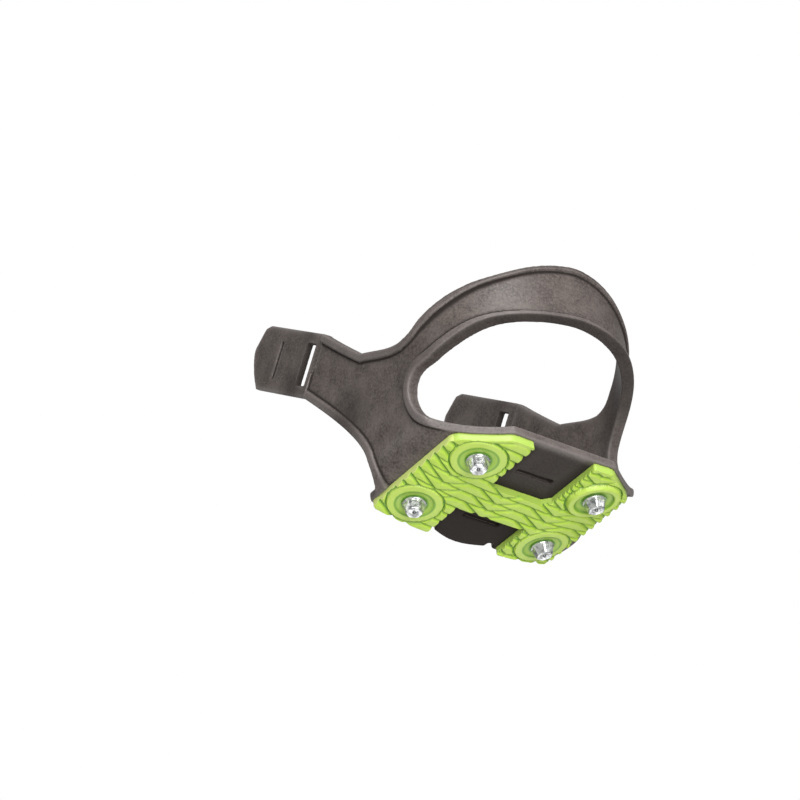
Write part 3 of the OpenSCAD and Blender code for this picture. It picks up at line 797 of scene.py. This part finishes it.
def studProfile(form):
    # height, radius and flats, from the shank's end round the outside to the hole in the crown
    collar, bend = form["collarD"] / 2, form["collarRound"]
    base, steps = form["collarT"], form["bendSteps"]
    path = [(-form["shankH"], form["shankR"], False), (-form["shankH"], form["shankD"] / 2, False),
            (0.0, form["shankD"] / 2, False), (0.0, collar - bend, False)]
    for i in range(steps + 1):
        a = math.pi * i / steps
        path.append((base / 2 - base / 2 * math.cos(a), collar - bend + bend * math.sin(a), False))
    top, foot, edge = base + form["crownH"], form["footD"] / 2, form["topD"] / 2
    rounded = form["topRound"]
    for i in range(form["crownSteps"] + 1):
        t = i / form["crownSteps"]
        height = base + form["seam"] + (form["crownH"] - rounded) * t
        path.append((height, foot + (edge - foot) * t, True))
    for i in range(1, steps + 1):
        a = math.pi / 2 * i / steps
        path.append((top - rounded * (1 - math.sin(a)), edge - rounded * (1 - math.cos(a)), True))
    hole, face = form["tipD"] / 2, edge - rounded
    for i in range(1, steps + 1):
        t = i / steps
        path.append((top - form["endDip"] * eased(t), face - (face - hole) * t, i < form["endFlats"]))
    path.append((top - form["holeDeep"], hole, False))
    path.append((top - form["holeDeep"], form["holeR"], False))
    return path


def ringFaces(rings, n):
    faces = []
    for k in range(rings - 1):
        for i in range(n):
            j = (i + 1) % n
            faces.append((k * n + i, k * n + j, (k + 1) * n + j, (k + 1) * n + i))
    faces.append(tuple(reversed(range(n))))
    faces.append(tuple(range((rings - 1) * n, rings * n)))
    return faces


def makeStud(place, form, tread):
    sx, sy, seat = tread["studs"][place]
    bent = abs(sx) - tread["flatX"]
    lean = math.copysign(bent / tread["floorR"], sx)
    axis = Vector((math.sin(lean), 0, -math.cos(lean)))
    across = Vector((math.cos(lean), 0, math.sin(lean)))
    level = tread["floorR"] - tread["floorT"] - math.sqrt(tread["floorR"] ** 2 - bent ** 2)
    turn = Matrix((across, axis.cross(across), axis)).transposed().to_4x4()
    base = Vector((sx, sy, level)) + axis * seat
    shift = Matrix.Scale(mm, 4) @ Matrix.Translation(base) @ turn
    spin = math.radians(form["turns"][place])
    top = form["collarT"] + form["crownH"]
    tip, end = form["tipD"] / 2, top + form["tipOut"]
    wide, narrow = form["tipShares"]
    pin = [(top - form["holeDeep"], tip, False), (top - form["tipBend"], tip, False),
           (end, tip * wide, False), (end + form["tipCrown"], tip * narrow, False)]
    for node, path, material, slot in (("stud_", studProfile(form), zinc, "stud_steel"),
                                       ("stud_tip_", pin, carbide, "tip_carbide")):
        points = []
        for height, radius, flats in path:
            points.extend(studRing(form, height, radius, flats, spin))
        faces = ringFaces(len(path), form["round"])
        piece = newObject(node + place + "_body", [shift @ Vector(p) for p in points],
                          faces, material)
        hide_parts(node + place)
        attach(piece, "harness_body")


studPlaces = [row + "_" + side for row in ("front", "rear") for side in ("left", "right")]
for place in studPlaces:
    makeStud(place, studForm, treadForm)
    nodes["stud_washer_" + place].data.materials.clear()
    nodes["stud_washer_" + place].data.materials.append(zinc)
print("studs made")


# stage: pale floor below the camera, white surroundings and soft boxes

stageSet = {
    "floorZ": -0.8, "floorSize": 8.0, "floorGrain": 40.0,
    "floorColour": "#f2f2f0", "floorGlow": 0.9, "floorShare": 0.8,
    "backdrop": 1.0, "ambient": 0.22,
    "boxes": {
        "keyBox": {"from": (-0.40, -0.84, -0.36), "far": 1.2, "size": 0.8, "watts": 14},
        "topBox": {"from": (-0.38, -0.70, 0.60), "far": 1.2, "size": 0.55, "watts": 8.5},
        "leftBox": {"from": (-0.85, 0.45, 0.10), "far": 1.2, "size": 0.7, "watts": 2},
        "mirrorBox": {"from": (0.50, 0.62, -0.60), "far": 1.0, "size": 0.7, "watts": 2},
        "rearBox": {"from": (0.50, -0.84, 0.20), "far": 1.2, "size": 0.6, "watts": 1.5},
        "farBox": {"from": (0.6, 0.7, 0.4), "far": 1.3, "size": 1.4, "watts": 2.5},
    },
}


def makeStage(given):
    material, tree = newMaterial("paintedFloor")
    place = addNode(tree, "ShaderNodeTexCoord").outputs["Object"]
    grain = addNode(tree, "ShaderNodeTexNoise", {
        "Vector": place, "Scale": perMetre(given["floorGrain"])})
    gloss = addNode(tree, "ShaderNodeMapRange", {
        "Value": grain.outputs["Fac"], "To Min": 0.75, "To Max": 0.9}).outputs["Result"]
    shader = addNode(tree, "ShaderNodeBsdfPrincipled", {
        "Base Color": linear(given["floorColour"]), "Roughness": gloss})
    # the floor looks pale, but the light on the part comes from the boxes
    seen = addNode(tree, "ShaderNodeLightPath").outputs["Is Camera Ray"]
    pale = addNode(tree, "ShaderNodeEmission", {
        "Color": linear(given["floorColour"]), "Strength": given["floorGlow"]})
    share = addNode(tree, "ShaderNodeMath", {
        0: seen, 1: given["floorShare"]}, operation="MULTIPLY").outputs[0]
    mix = addNode(tree, "ShaderNodeMixShader", {
        0: share, 1: shader.outputs["BSDF"], 2: pale.outputs[0]})
    addNode(tree, "ShaderNodeOutputMaterial", {"Surface": mix.outputs[0]})
    half = given["floorSize"] / 2
    corners = [(-half, -half, given["floorZ"]), (half, -half, given["floorZ"]),
               (half, half, given["floorZ"]), (-half, half, given["floorZ"])]
    floor = newObject("pale_floor", corners, [(0, 1, 2, 3)], material)
    middle = (cadBox[0] + cadBox[1]) / 2
    for name, box in given["boxes"].items():
        lamp = bpy.data.lights.new(name, "AREA")
        lamp.shape = "SQUARE"
        lamp.size = box["size"]
        lamp.energy = box["watts"]
        holder = bpy.data.objects.new(name, lamp)
        bpy.context.scene.collection.objects.link(holder)
        away = Vector(box["from"]).normalized()
        holder.location = middle + away * box["far"]
        holder.rotation_mode = "QUATERNION"
        holder.rotation_quaternion = (-away).to_track_quat("-Z", "Y")
        holder.visible_camera = False
    world = bpy.data.worlds.new("whiteStudio")
    world.use_nodes = True
    tree = world.node_tree
    tree.nodes.clear()
    seen = addNode(tree, "ShaderNodeLightPath").outputs["Is Camera Ray"]
    wall = addNode(tree, "ShaderNodeBackground", {
        "Color": linear("#ffffff"), "Strength": given["backdrop"]})
    room = addNode(tree, "ShaderNodeBackground", {
        "Color": linear("#ffffff"), "Strength": given["ambient"]})
    mix = addNode(tree, "ShaderNodeMixShader", {0: seen, 1: room.outputs[0], 2: wall.outputs[0]})
    addNode(tree, "ShaderNodeOutputWorld", {"Surface": mix.outputs[0]})
    bpy.context.scene.world = world
    bpy.context.scene.view_settings.view_transform = "Standard"


makeStage(stageSet)
print("stage and light made")
